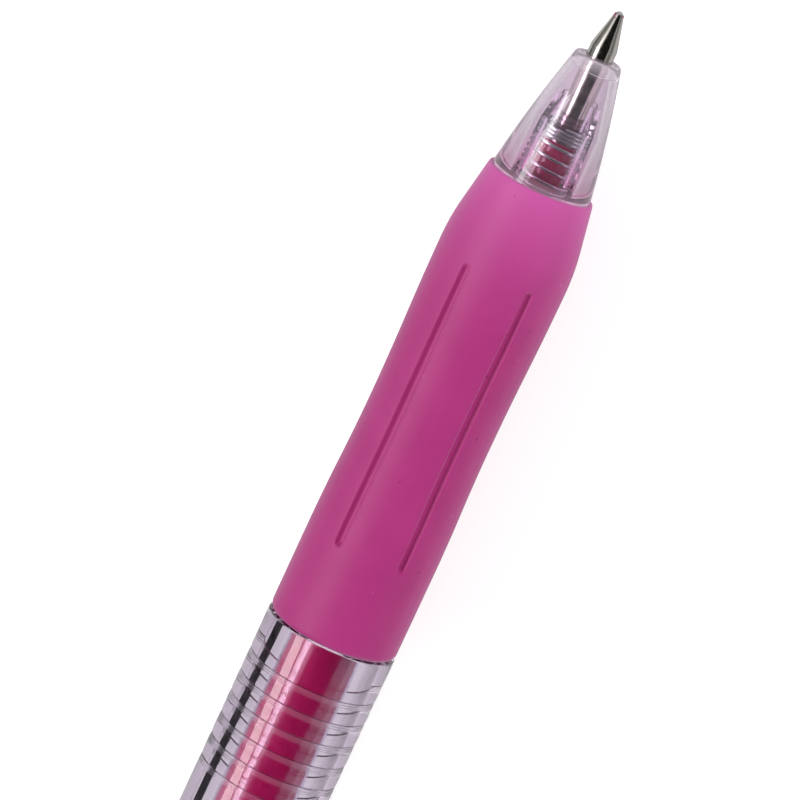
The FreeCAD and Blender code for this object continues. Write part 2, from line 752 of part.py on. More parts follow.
def barrel():
    """The clear barrel: a neck under the grip, fine rings, and a joint for the housing."""
    body = new_body("barrel")
    neck_bore_rear = "nose_rear + spigot_length + run_gap"
    bore_step = "barrel_rear - rear_bore_length"
    revolve(
        body,
        [
            ("nose_rear", "neck_bore"),
            ("nose_rear", "neck_radius"),
            ("grip_rear", "neck_radius"),
            ("grip_rear", "barrel_radius"),
            ("straight_rear", "barrel_radius"),
            ("barrel_rear", "housing_radius"),
            ("barrel_rear", "joint_radius"),
            ("joint_rear", "joint_radius"),
            ("joint_rear", "rear_bore"),
            (f"{bore_step} + bore_taper", "rear_bore"),
            (bore_step, "barrel_bore"),
            (neck_bore_rear, "barrel_bore"),
            (neck_bore_rear, "neck_bore"),
        ],
    )
    front = "grip_rear + ring_place"
    rear = f"{front} + ring_width"
    ring = revolve(
        body,
        [
            (front, "barrel_radius - ring_depth"),
            (front, "barrel_radius + ring_depth"),
            (rear, "barrel_radius + ring_depth"),
            (rear, "barrel_radius"),
        ],
        "ring",
        "Groove",
    )
    pattern = body.newObject("PartDesign::LinearPattern", "barrel_rings")
    pattern.Originals = [ring]
    pattern.Direction = (origin_feature(body, "X_Axis"), [""])
    bind(pattern, "Length", "ring_pitch * (ring_count - 1)")
    bind(pattern, "Occurrences", "ring_count")
    body.Tip = pattern
    body.Placement = lying()
    return body


def clip_housing():
    """The rear housing: it holds the cam sleeve, guides the button and carries the clip."""
    body = new_body("clip_housing")
    socket_rear = "barrel_rear + socket_length"
    socket = "joint_radius + fit_gap"
    revolve(
        body,
        [
            ("barrel_rear", socket),
            ("barrel_rear", "housing_radius"),
            ("housing_rear - housing_taper", "housing_radius"),
            ("housing_rear", "housing_end_radius", RADIUS, "3 * housing_taper"),
            ("housing_rear", "button_hole"),
            ("button_stop", "button_hole"),
            ("button_stop", "rear_bore"),
            (socket_rear, "rear_bore"),
            (socket_rear, socket),
        ],
    )
    round_ring(body, "rear_edge", "housing_rear", "housing_end_radius", "housing_edge")
    lug_front = "pivot - lug_half_length"
    lug_rear = "pivot + lug_half_length"
    lug = draw_outline(
        new_sketch(body, "lug", "XZ_Plane"),
        [
            (lug_front, "lug_root"),
            (lug_front, "pivot_height"),
            (lug_rear, "pivot_height", ABOUT, "pivot", "pivot_height"),
            (lug_rear, "lug_root"),
        ],
    )
    pad(body, lug, "lug_width", both_ways=True)
    hole = new_sketch(body, "pin_hole", "XZ_Plane")
    draw_circle(hole, "pivot", "pivot_height", "pin_radius + fit_gap")
    pocket(body, hole, "2 * lug_width", both_ways=True)
    well = new_sketch(body, "well", "XY_Plane", "spring_well_floor")
    draw_circle(well, "well", "0", "spring_well_radius")
    pocket(body, well, "barrel_radius", upward=True)
    body.Placement = lying()
    return body


# ---------------------------------------------------------------- click mechanism


def cam_sleeve():
    """Slots guide the plunger and the rotor; the ledges between them hold the rotor."""
    body = new_body("cam_sleeve")
    outside = "rear_bore - fit_gap"
    revolve(
        body,
        [
            ("sleeve_front", "cam_bore"),
            ("sleeve_front", outside),
            ("joint_rear", outside),
            ("joint_rear", "joint_radius"),
            ("joint_rear + sleeve_flange", "joint_radius"),
            ("joint_rear + sleeve_flange", outside),
            ("sleeve_rear", outside),
            ("sleeve_rear", "spline_bore"),
            ("ledge", "spline_bore"),
            ("ledge", "cam_bore"),
        ],
    )
    across = "cam_bore * sin(slot_half_angle)"
    down = "-cam_bore * cos(slot_half_angle)"
    slot = draw_outline(
        new_sketch(body, "slot", "YZ_Plane", "ledge"),
        [("0", "0"), (f"-{across}", down), (across, down, ABOUT, "0", "0")],
    )
    cut = pocket(body, slot, "stop_front - ledge", upward=True)
    repeat_round(body, cut, "cam_count")
    rise = "catch_slope * (catch_end - catch_start)"
    slope = draw_outline(
        new_sketch(body, "catch", "XY_Plane"),
        [("ledge", "catch_start"), (f"ledge + {rise}", "catch_end"), ("ledge", "catch_end")],
    )
    catch = pocket(body, slope, "catch_height", upward=True)
    repeat_round(body, catch, "cam_count")
    body.Placement = lying()
    return body


def crown(body, place, towards_rear):
    """Cuts the pointed notches of a crown round its annular face."""
    sign = "+" if towards_rear else "-"
    notch = draw_outline(
        new_sketch(body, "crown", "XY_Plane", "post_radius + run_gap"),
        [
            (f"{place} {sign} crown_depth", "0"),
            (place, "crown_half_width"),
            (place, "-crown_half_width"),
        ],
    )
    cut = pocket(body, notch, "rotor_radius", upward=True)
    repeat_round(body, cut, "crown_count")


def cam_rib(body, place, length):
    """Pads one rib of the click mechanism from a place, and repeats it round the axis."""
    half = "cam_rib_width / 2"
    root = "post_radius + 2 * run_gap"
    section = draw_outline(
        new_sketch(body, "rib", "YZ_Plane", place),
        [
            (f"-{half}", root),
            (f"-{half}", "sqrt(cam_rib_radius^2 - cam_rib_width^2 / 4)"),
            (half, "sqrt(cam_rib_radius^2 - cam_rib_width^2 / 4)", ABOUT, "0", "0"),
            (half, root),
        ],
    )
    repeat_round(body, pad(body, section, length), "cam_count")


def cam_rotor():
    """The rotor between refill and plunger; its ribs stand on the ledges."""
    body = new_body("cam_rotor")
    post_end = "rotor_crest + post_length"
    revolve(
        body,
        [
            ("rotor_front", "0"),
            ("rotor_front", "rotor_radius"),
            ("rotor_crest", "rotor_radius"),
            ("rotor_crest", "post_radius"),
            (post_end, "post_radius"),
            (f"{post_end} + post_tip", "post_radius - post_tip"),
            (f"{post_end} + post_tip", "0"),
        ],
    )
    crown(body, "rotor_crest", towards_rear=False)
    cam_rib(body, "ledge - face_gap - rotor_rib_length", "rotor_rib_length")
    body.Placement = lying(CLIP_ROLL + value("rotor_turn"))
    return body


def cam_plunger():
    """The tube behind the rotor, with a crown at its front and ribs in the slots."""
    body = new_body("cam_plunger")
    revolve(
        body,
        [
            ("plunger_front", "plunger_bore"),
            ("plunger_front", "rotor_radius"),
            ("plunger_rear", "rotor_radius"),
            ("plunger_rear", "plunger_bore"),
        ],
    )
    crown(body, "plunger_front", towards_rear=True)
    cam_rib(body, "guide_front", "guide_rib_length")
    body.Placement = lying(CLIP_ROLL + 180 / value("cam_count"))
    return body


def push_button():
    body = new_body("push_button")
    revolve(
        body,
        [
            ("button_front", "button_bore"),
            ("button_front", "button_radius"),
            ("button_rear", "button_radius"),
            ("button_rear", "insert_radius"),
            ("insert_floor", "insert_radius"),
            ("insert_floor", "0"),
            ("plunger_rear + fit_gap", "0"),
            ("plunger_rear + fit_gap", "button_bore"),
        ],
    )
    round_ring(body, "end_edge", "button_rear", "button_radius", "button_edge")
    body.Placement = lying()
    return body


def button_insert():
    """The coloured disc in the button's end, slightly domed."""
    body = new_body("button_insert")
    rim = "button_rear - insert_dome"
    radius = "insert_radius - fit_gap"
    dome = f"(({radius})^2 + insert_dome^2) / (2 * insert_dome)"
    revolve(
        body,
        [
            ("insert_floor", "0"),
            ("insert_floor", radius),
            (rim, radius),
            ("button_rear", "0", RADIUS, dome),
        ],
    )
    body.Placement = lying()
    return body


# ---------------------------------------------------------------- clip


def long_edges(shape, height):
    """Names of the straight edges that run along the clip's outer face."""
    return [
        f"Edge{number}"
        for number, edge in enumerate(shape.Edges, start=1)
        if isinstance(edge.Curve, Part.Line)
        and edge.BoundBox.YLength < 1e-6
        and abs(edge.BoundBox.ZMax - height) < 1e-6
        and edge.BoundBox.XLength > 1
    ]


def clip_lever():
    """The clip: a plate with a sloping arm, a foot on the barrel and cheeks at the pin."""
    body = new_body("clip_lever")
    plate = draw_outline(
        new_sketch(body, "plate", "XZ_Plane"),
        [
            ("foot_front", "clip_foot"),
            ("clip_front", "clip_foot + clip_nose_slope"),
            ("clip_front + clip_nose_slope", "clip_nose_top"),
            ("clip_elbow", "clip_top", SWELL),
            ("clip_rear", "clip_top"),
            ("clip_rear", "clip_under"),
            ("clip_elbow", "clip_under"),
            ("foot_rear + foot_slope", "clip_nose_top - clip_thickness", SWELL),
            ("foot_rear", "clip_foot"),
        ],
    )
    pad(body, plate, "2 * clip_half_width", both_ways=True)
    cheeks = draw_outline(
        new_sketch(body, "cheeks", "XZ_Plane"),
        [
            ("pivot - cheek_round", "pivot_height", ABOUT, "pivot", "pivot_height"),
            ("pivot - cheek_half_length", "clip_under"),
            ("pivot + cheek_half_length", "clip_under"),
            ("pivot + cheek_round", "pivot_height"),
        ],
    )
    pad(body, cheeks, "2 * cheek_outside", both_ways=True)
    between = draw_outline(
        new_sketch(body, "between_cheeks", "XZ_Plane"),
        [
            ("pivot - cheek_half_length", "pivot_height - 2 * cheek_round"),
            ("pivot - cheek_half_length", "clip_under"),
            ("pivot + cheek_half_length", "clip_under"),
            ("pivot + cheek_half_length", "pivot_height - 2 * cheek_round"),
        ],
    )
    pocket(body, between, "lug_width + 2 * cheek_gap", both_ways=True)
    hole = new_sketch(body, "pin_hole", "XZ_Plane")
    draw_circle(hole, "pivot", "pivot_height", "pin_radius + face_gap")
    pocket(body, hole, "4 * clip_half_width", both_ways=True)
    nub = new_sketch(body, "nub", "XY_Plane", "clip_under - nub_length")
    draw_circle(nub, "well", "0", "nub_radius")
    pad(body, nub, "nub_length")
    doc.recompute()
    fillet(body, "long_edges", long_edges(body.Tip.Shape, value("clip_top")), "clip_edge")
    body.Placement = lying()
    return body


def clip_pin():
    """The clip's pin, across the lug and both cheeks."""
    pin = doc.addObject("Part::Cylinder", "clip_pin")
    pin.Label = "clip_pin"
    bind(pin, "Radius", "pin_radius")
    bind(pin, "Height", "2 * cheek_outside")
    start = FreeCAD.Vector(value("pivot"), -value("cheek_outside"), value("pivot_height"))
    pin.Placement = lying() * FreeCAD.Placement(start, FreeCAD.Rotation(FreeCAD.Vector(1, 0, 0), -90))
    return pin


def clip_spring():
    """The coil that lifts the clip's tail and presses its foot on the barrel."""
    wire = value("clip_wire_radius")
    turns = value("clip_spring_turns")
    room = value("clip_under - spring_well_floor - 2 * fit_gap") - 2 * wire
    spring = coil("clip_spring", value("clip_spring_radius") - wire, wire, [(room / turns, turns)])
    start = FreeCAD.Vector(value("well"), 0, value("spring_well_floor + fit_gap") + wire)
    spring.Placement = lying() * FreeCAD.Placement(start, FreeCAD.Rotation())
    return spring


# ---------------------------------------------------------------- the pen

PIECES = [
    writing_ball,
    tip_point,
    tip_holder,
    ink_tube,
    ink_column,
    ink_follower,
    refill_tail_plug,
    return_spring,
    nose_cone,
    grip_sleeve,
    barrel,
    clip_housing,
    cam_sleeve,
    cam_rotor,
    cam_plunger,
    push_button,
    button_insert,
    clip_lever,
    clip_pin,
    clip_spring,
]
sub_parts = [piece() for piece in PIECES]
doc.recompute()

failed = [item.Name for item in doc.Objects if {"Invalid", "Error"} & set(item.State)]
failed += [item.Label for item in sub_parts if item.Shape.isNull() or not item.Shape.isValid()]
failed += [item.Label for item in sub_parts if len(item.Shape.Solids) != 1]
if failed:
    raise RuntimeError("these did not build: " + ", ".join(failed))

os.makedirs("parts", exist_ok=True)
for item in sub_parts:
    item.Shape.exportStep(f"parts/{item.Label}.step")
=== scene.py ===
import math

import bmesh
import bpy
from mathutils import Matrix, Vector


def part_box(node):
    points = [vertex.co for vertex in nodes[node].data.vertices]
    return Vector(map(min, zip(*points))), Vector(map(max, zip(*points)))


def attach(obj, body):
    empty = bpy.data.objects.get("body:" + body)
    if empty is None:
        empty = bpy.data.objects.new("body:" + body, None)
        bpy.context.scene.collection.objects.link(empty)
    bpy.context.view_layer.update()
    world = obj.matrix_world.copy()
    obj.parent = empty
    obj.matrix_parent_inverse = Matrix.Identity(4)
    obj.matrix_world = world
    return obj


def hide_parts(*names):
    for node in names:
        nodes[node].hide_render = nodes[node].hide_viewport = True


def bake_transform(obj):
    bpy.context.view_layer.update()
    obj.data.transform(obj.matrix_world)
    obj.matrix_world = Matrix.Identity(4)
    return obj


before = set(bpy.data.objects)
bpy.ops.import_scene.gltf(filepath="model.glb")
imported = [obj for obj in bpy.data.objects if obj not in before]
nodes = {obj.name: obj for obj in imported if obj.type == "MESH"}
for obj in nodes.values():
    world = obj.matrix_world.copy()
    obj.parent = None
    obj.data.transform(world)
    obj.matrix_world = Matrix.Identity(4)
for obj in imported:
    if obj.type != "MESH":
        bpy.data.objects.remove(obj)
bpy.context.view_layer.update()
collection = bpy.context.scene.collection

MM = 0.001

# ---------------------------------------------------------------- the pen's own frame
#
# u is the distance behind the ball's apex and r the distance from the pen's axis, both in mm.
# An angle turns about the axis from straight up towards +Y.

WIRE_RADIUS = 0.15  # both springs

tip_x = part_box("writing_ball")[0].x
sleeve_low, sleeve_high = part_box("grip_sleeve")
axis_y = (sleeve_low.y + sleeve_high.y) / 2
axis_z = (sleeve_low.z + sleeve_high.z) / 2


def at(u, r=0.0, angle=0.0):
    a = math.radians(angle)
    return Vector((tip_x + u * MM, axis_y + r * MM * math.sin(a), axis_z + r * MM * math.cos(a)))


def front(node):
    return (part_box(node)[0].x - tip_x) / MM


def rear(node):
    return (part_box(node)[1].x - tip_x) / MM


nose_front = front("nose_cone")
grip_front = front("grip_sleeve")
grip_rear = rear("grip_sleeve")
holder_front = front("tip_holder")
tube_front = front("ink_tube")
barrel_end = rear("barrel")

# ---------------------------------------------------------------- camera

FOOT = Vector((-89.1, 0, 522.5)) * MM  # the camera, from the ball's apex
AIM = Vector((37.12, -3.0, 0)) * MM  # what it looks at, from the ball's apex
ROLL = math.radians(24.87)
FOCAL_PX = 6526
PICTURE = 800  # the picture's width in pixels

SENSOR_MM = 36
AHEAD = Vector((-1, 0, 0))  # the way the pen points

eye = at(0) + FOOT
forward = (at(0) + AIM - eye).normalized()
along = (AHEAD - forward * forward.dot(AHEAD)).normalized()
across = forward.cross(along)
up = math.cos(ROLL) * along - math.sin(ROLL) * across
right = math.sin(ROLL) * along + math.cos(ROLL) * across
camera_data = bpy.data.cameras.new("camera")
camera_data.sensor_width = SENSOR_MM
camera_data.lens = SENSOR_MM * FOCAL_PX / PICTURE
camera_data.clip_start = 0.01
camera_data.clip_end = 20
camera = bpy.data.objects.new("camera", camera_data)
facing_pen = Matrix((right, up, -forward)).transposed().to_4x4()
camera.matrix_world = Matrix.Translation(eye) @ facing_pen
collection.objects.link(camera)
bpy.context.scene.camera = camera
bpy.context.scene.view_settings.view_transform = "Standard"

# ---------------------------------------------------------------- mesh helpers


def mesh_object(name, points, faces, sharp=40):
    """A smooth closed mesh, with edges sharper than `sharp` degrees kept crisp."""
    mesh = bpy.data.meshes.new(name)
    mesh.from_pydata([tuple(p) for p in points], [], faces)
    b = bmesh.new()
    b.from_mesh(mesh)
    bmesh.ops.remove_doubles(b, verts=b.verts, dist=1e-8)
    bmesh.ops.recalc_face_normals(b, faces=b.faces)
    b.to_mesh(mesh)
    b.free()
    mesh.shade_smooth()
    mesh.set_sharp_from_angle(angle=math.radians(sharp))
    obj = bpy.data.objects.new(name, mesh)
    collection.objects.link(obj)
    return obj


def rounded(outline, steps=5):
    """An outline of (u, r[, rounding]) with its corners rounded by arcs of that radius."""
    points = []
    count = len(outline)
    for i, corner in enumerate(outline):
        here = Vector(corner[:2])
        radius = corner[2] if len(corner) > 2 else 0
        if not radius:
            points.append(here)
            continue
        before = (Vector(outline[i - 1][:2]) - here).normalized()
        after = (Vector(outline[(i + 1) % count][:2]) - here).normalized()
        half = before.angle(after) / 2
        back = radius / math.tan(half)
        centre = here + (before + after).normalized() * (radius / math.sin(half))
        first, last = here + before * back - centre, here + after * back - centre
        turn = first.angle_signed(last)
        for k in range(steps + 1):
            spin = Matrix.Rotation(-turn * k / steps, 2)
            points.append(centre + spin @ first)
    return points


def lathe(name, outline, sides=192, closed=True, sharp=40):
    """The outline turned about the pen's axis. An open one starts and ends on the axis."""
    outline = [Vector(p[:2]) for p in outline]
    points, faces = [], []
    for p in outline:
        points += [at(p[0], p[1], 360 * k / sides) for k in range(sides)]
    rows = len(outline)
    for i in range(rows if closed else rows - 1):
        j = (i + 1) % rows
        for k in range(sides):
            m = (k + 1) % sides
            faces.append((i * sides + k, i * sides + m, j * sides + m, j * sides + k))
    return mesh_object(name, points, faces, sharp)


def arc(start, end, radius, steps=24):
    """Points of a full arc from start to end, both (u, r), bulging away from the axis."""
    a, b = Vector(start), Vector(end)
    chord = (b - a).length
    out = Vector((-(b - a).y, (b - a).x)).normalized()
    depth = math.sqrt(radius**2 - chord**2 / 4)
    points = []
    for k in range(steps + 1):
        t = (k / steps - 0.5) * chord
        bulge = math.sqrt(radius**2 - t * t) - depth
        points.append((a + b) / 2 + (b - a) / chord * t + out * bulge)
    return points


def tube_along(name, path, radius, sides=16):
    """A round wire along a list of points, closed at both ends."""
    points, faces = [], []
    count = len(path)
    for i, p in enumerate(path):
        way = (path[min(i + 1, count - 1)] - path[max(i - 1, 0)]).normalized()
        side = way.cross(Vector((1, 0.2, 0.1))).normalized() if i == 0 else side
        side = (side - way * way.dot(side)).normalized()
        other = way.cross(side)
        for k in range(sides):
            a = 2 * math.pi * k / sides
            points.append(p + (side * math.cos(a) + other * math.sin(a)) * radius)
    for i in range(count - 1):
        for k in range(sides):
            m = (k + 1) % sides
            j = i + 1
            faces.append((i * sides + k, i * sides + m, j * sides + m, j * sides + k))
    faces.append(tuple(range(sides))[::-1])
    faces.append(tuple(range((count - 1) * sides, count * sides)))
    return mesh_object(name, points, faces)


def coil_points(place, mean_radius, stretches, steps=40):
    """Points of a coil of (pitch, turns) stretches.

    place(across, sideways, along) turns the coil's own mm into the scene's."""

    def on_coil(turn, reach):
        a = 2 * math.pi * turn
        return place(mean_radius * math.cos(a), mean_radius * math.sin(a), reach)

    points, reach, turned = [], 0.0, 0.0
    for pitch, turns in stretches:
        count = round(turns * steps)
        for k in range(count):
            share = turns * k / count
            points.append(on_coil(turned + share, reach + pitch * share))
        reach += pitch * turns
        turned += turns
    points.append(on_coil(turned, reach))
    return points


# ---------------------------------------------------------------- material helpers


def new_material(name):
    material = bpy.data.materials.new(name)
    material.use_nodes = True
    tree = material.node_tree
    return material, tree, tree.nodes["Principled BSDF"]


def add(tree, kind, **settings):
    node = tree.nodes.new(kind)
    for key, value in settings.items():
        if key in node.inputs:
            node.inputs[key].default_value = value
        else:
            setattr(node, key, value)
    return node


def math_node(tree, operation, first, second=None):
    node = add(tree, "ShaderNodeMath", operation=operation)
    for socket, value in zip(node.inputs, (first, second)):
        if isinstance(value, (int, float)):
            socket.default_value = value
        elif value is not None:
            tree.links.new(value, socket)
    return node.outputs[0]


def source_of(shader, name):
    """What is linked to a socket now, to be built on."""
    return shader.inputs[name].links[0].from_socket


def pen_space(tree, stretch=(1, 1, 1)):
    """Object coordinates in mm, with x from the ball's apex and y and z from the pen's axis."""
    mapping = add(tree, "ShaderNodeMapping")
    mapping.inputs["Scale"].default_value = [1000 * s for s in stretch]
    mapping.inputs["Location"].default_value = [
        -1000 * s * p for s, p in zip(stretch, (tip_x, axis_y, axis_z))
    ]
    place = add(tree, "ShaderNodeTexCoord").outputs["Object"]
    tree.links.new(place, mapping.inputs["Vector"])
    return mapping.outputs["Vector"]


def station(tree, place):
    """Distance behind the ball's apex, in mm."""
    split = add(tree, "ShaderNodeSeparateXYZ")
    tree.links.new(place, split.inputs["Vector"])
    return split.outputs["X"]


def axis_distance(tree, place):
    """Distance from the pen's axis, in mm."""
    flat = add(tree, "ShaderNodeVectorMath", operation="MULTIPLY")
    flat.inputs[1].default_value = (0, 1, 1)
    tree.links.new(place, flat.inputs[0])
    reach = add(tree, "ShaderNodeVectorMath", operation="LENGTH")
    tree.links.new(flat.outputs[0], reach.inputs[0])
    return reach.outputs["Value"]


def noise(tree, vector, size, detail):
    node = add(tree, "ShaderNodeTexNoise", Scale=1 / size, Detail=detail)
    tree.links.new(vector, node.inputs["Vector"])
    return node.outputs["Fac"]


def spread(tree, source, low, high, start=0.3, end=0.7):
    """Turns start...end of the source into low...high, and stays there outside."""
    node = add(tree, "ShaderNodeMapRange")
    node.inputs["From Min"].default_value = start
    node.inputs["From Max"].default_value = end
    node.inputs["To Min"].default_value = low
    node.inputs["To Max"].default_value = high
    tree.links.new(source, node.inputs["Value"])
    return node.outputs["Result"]


def tint(tree, source, first, second):
    """A colour between first and second, from a noise."""
    node = add(tree, "ShaderNodeMix", data_type="RGBA")
    node.inputs["A"].default_value = (*first, 1)
    node.inputs["B"].default_value = (*second, 1)
    tree.links.new(spread(tree, source, 0, 1), node.inputs["Factor"])
    return node.outputs["Result"]


def blend_colors(tree, factor, first, second):
    """From the colour of the socket first to the plain colour second."""
    node = add(tree, "ShaderNodeMix", data_type="RGBA")
    tree.links.new(factor, node.inputs["Factor"])
    tree.links.new(first, node.inputs["A"])
    node.inputs["B"].default_value = (*second, 1)
    return node.outputs["Result"]


def bump(tree, shader, height, depth_mm, strength=1.0):
    node = add(tree, "ShaderNodeBump", Strength=strength, Distance=depth_mm * MM)
    tree.links.new(height, node.inputs["Height"])
    tree.links.new(node.outputs["Normal"], shader.inputs["Normal"])


def let_light_in(tree, shader, share=0.85, color=(1, 1, 1)):
    """Lamps reach what is inside a piece that lets light through, and its shadow is lighter."""
    path = add(tree, "ShaderNodeLightPath")
    fade = spread(tree, path.outputs["Is Shadow Ray"], 0, share, 0, 1)
    mix = add(tree, "ShaderNodeMixShader")
    tree.links.new(fade, mix.inputs["Fac"])
    tree.links.new(shader.outputs[0], mix.inputs[1])
    clear = add(tree, "ShaderNodeBsdfTransparent", Color=(*color, 1))
    tree.links.new(clear.outputs[0], mix.inputs[2])
    tree.links.new(mix.outputs[0], tree.nodes["Material Output"].inputs["Surface"])


def clear_plastic(name, color, roughness, ior, transmission=1.0, shine=0.5):
    """Moulded clear plastic: faint flow lines along the pen and fine handling marks."""
    material, tree, shader = new_material(name)
    shader.inputs["Transmission Weight"].default_value = transmission
    shader.inputs["IOR"].default_value = ior
    shader.inputs["Specular IOR Level"].default_value = shine
    low, high = roughness
    marks = noise(tree, pen_space(tree, (0.15, 1, 1)), 0.6, 4.0)
    tree.links.new(spread(tree, marks, low, high), shader.inputs["Roughness"])
    flow = noise(tree, pen_space(tree, (0.08, 1, 1)), 1.6, 2.0)
    streaked = tint(tree, flow, color, [c * 0.985 for c in color])
    tree.links.new(streaked, shader.inputs["Base Color"])
    bump(tree, shader, flow, 0.004)
    let_light_in(tree, shader)
    return material


def moulded(name, color, roughness, shine=0.5):
    """Opaque moulded plastic with slight colour and gloss variation."""
    material, tree, shader = new_material(name)
    shader.inputs["Specular IOR Level"].default_value = shine
    place = pen_space(tree)
    cloud = noise(tree, place, 3.0, 3.0)
    uneven = tint(tree, cloud, [c * 0.95 for c in color], [min(1, c * 1.05) for c in color])
    tree.links.new(uneven, shader.inputs["Base Color"])
    fine = noise(tree, place, 0.25, 4.0)
    gloss = spread(tree, fine, roughness * 0.8, roughness * 1.25)
    tree.links.new(gloss, shader.inputs["Roughness"])
    bump(tree, shader, fine, 0.002)
    return material


def turned_metal(name, color, roughness):
    """Metal with fine turning lines round the pen's axis."""
    material, tree, shader = new_material(name)
    shader.inputs["Metallic"].default_value = 1.0
    lines = noise(tree, pen_space(tree, (1, 0.02, 0.02)), 0.09, 2.0)
    patches = noise(tree, pen_space(tree), 0.5, 3.0)
    gloss = spread(tree, patches, roughness * 0.7, roughness * 1.4)
    tree.links.new(gloss, shader.inputs["Roughness"])
    tarnish = tint(tree, patches, [c * 0.93 for c in color], color)
    tree.links.new(tarnish, shader.inputs["Base Color"])
    bump(tree, shader, lines, 0.001, 0.4)
    return material, tree, shader


def drawn_wire(name, color, roughness):
    """Spring wire: dull marks left by drawing and coiling."""
    material, tree, shader = new_material(name)
    shader.inputs["Metallic"].default_value = 1.0
    marks = noise(tree, pen_space(tree), 0.12, 3.0)
    gloss = spread(tree, marks, roughness * 0.6, roughness * 1.6)
    tree.links.new(gloss, shader.inputs["Roughness"])
    tarnish = tint(tree, marks, [c * 0.8 for c in color], color)
    tree.links.new(tarnish, shader.inputs["Base Color"])
    bump(tree, shader, marks, 0.003)
    return material


# ---------------------------------------------------------------- materials

barrel_plastic = clear_plastic("barrel_plastic", (0.91, 0.80, 0.96), (0.0, 0.03), 1.49)
nose_plastic = clear_plastic("nose_plastic", (0.97, 0.86, 0.97), (0.02, 0.06), 1.49, 0.96, 0.12)
holder_plastic = clear_plastic("holder_plastic", (0.85, 0.74, 0.82), (0.02, 0.05), 1.49, 0.99)
tube_plastic = clear_plastic("tube_plastic", (0.96, 0.80, 0.88), (0.10, 0.16), 1.46, 0.99)
grease = clear_plastic("grease", (0.9, 0.85, 0.75), (0.05, 0.12), 1.4)
ink = moulded("ink", (0.45, 0.0, 0.1), 0.35, shine=0.12)
pink = moulded("pink_plastic", (0.45, 0.035, 0.19), 0.18)
deep = moulded("deep_plastic", (0.27, 0.005, 0.06), 0.15)
white = moulded("white_plastic", (0.78, 0.76, 0.78), 0.35)
steel = drawn_wire("spring_steel", (0.58, 0.59, 0.61), 0.16)
carbide = turned_metal("carbide", (0.5, 0.5, 0.52), 0.12)[0]


def point_metal():
    """Nickel silver, with traces of dried ink at the rim round the ball."""
    material, tree, shader = turned_metal("point_metal", (0.58, 0.55, 0.51), 0.17)
    place = pen_space(tree)
    near_rim = spread(tree, station(tree, place), 1, 0, 0.35, 0.75)
    blots = spread(tree, noise(tree, place, 0.3, 2.0), 0, 1, 0.48, 0.56)
    inked = math_node(tree, "MULTIPLY", near_rim, blots)
    base = source_of(shader, "Base Color")
    stained = blend_colors(tree, inked, base, (0.35, 0.01, 0.10))
    tree.links.new(stained, shader.inputs["Base Color"])
    tree.links.new(math_node(tree, "SUBTRACT", 1.0, inked), shader.inputs["Metallic"])
    return material


def grip_rubber():
    """Soft-touch rubber: matt, with a lavender sheen, dust specks and tiny pits drawn as dark
    specks of painted shade.

    It gets thinner towards its front, and there its colour is painted lighter: a painted pool of
    light."""
    material, tree, shader = new_material("grip_rubber")
    place = pen_space(tree)
    cloud = noise(tree, place, 4.0, 4.0)
    color = tint(tree, cloud, (0.43, 0.020, 0.19), (0.47, 0.026, 0.21))
    # painted light: the sleeve's front is painted lighter in its colour, a pool of light
    near_front = spread(tree, station(tree, place), 1, 0, grip_front - 0.5, grip_front + 14.5)
    painted_front_light = math_node(tree, "MULTIPLY", near_front, near_front)
    color = blend_colors(tree, painted_front_light, color, (0.66, 0.10, 0.40))
    speck = add(tree, "ShaderNodeTexVoronoi", Scale=0.55)
    tree.links.new(place, speck.inputs["Vector"])
    light_dust = spread(tree, speck.outputs["Distance"], 1, 0, 0.03, 0.07)
    rare = spread(tree, noise(tree, place, 2.2, 0.0), 0, 0.35, 0.55, 0.6)
    dust = math_node(tree, "MULTIPLY", light_dust, rare)
    color = blend_colors(tree, dust, color, (0.85, 0.55, 0.75))
    # painted shade: tiny pits drawn as near-black specks in the colour, with no hollow in the
    # surface
    shifted = add(tree, "ShaderNodeVectorMath", operation="ADD")
    shifted.inputs[1].default_value = (7.3, 4.1, 2.7)
    tree.links.new(place, shifted.inputs[0])
    pit = add(tree, "ShaderNodeTexVoronoi", Scale=0.35)
    tree.links.new(shifted.outputs[0], pit.inputs["Vector"])
    painted_pit_shade = spread(tree, pit.outputs["Distance"], 0.75, 0, 0.025, 0.045)
    color = blend_colors(tree, painted_pit_shade, color, (0.10, 0.002, 0.04))
    tree.links.new(color, shader.inputs["Base Color"])
    fine = noise(tree, place, 0.08, 2.0)
    tree.links.new(spread(tree, fine, 0.50, 0.60), shader.inputs["Roughness"])
    shader.inputs["Specular IOR Level"].default_value = 0.4
    shader.inputs["Sheen Weight"].default_value = 0.5
    shader.inputs["Sheen Roughness"].default_value = 0.45
    shader.inputs["Sheen Tint"].default_value = (0.95, 0.8, 1.0, 1)
    bump(tree, shader, fine, 0.004)
    let_light_in(tree, shader, 0.35, (0.95, 0.25, 0.6))
    return material


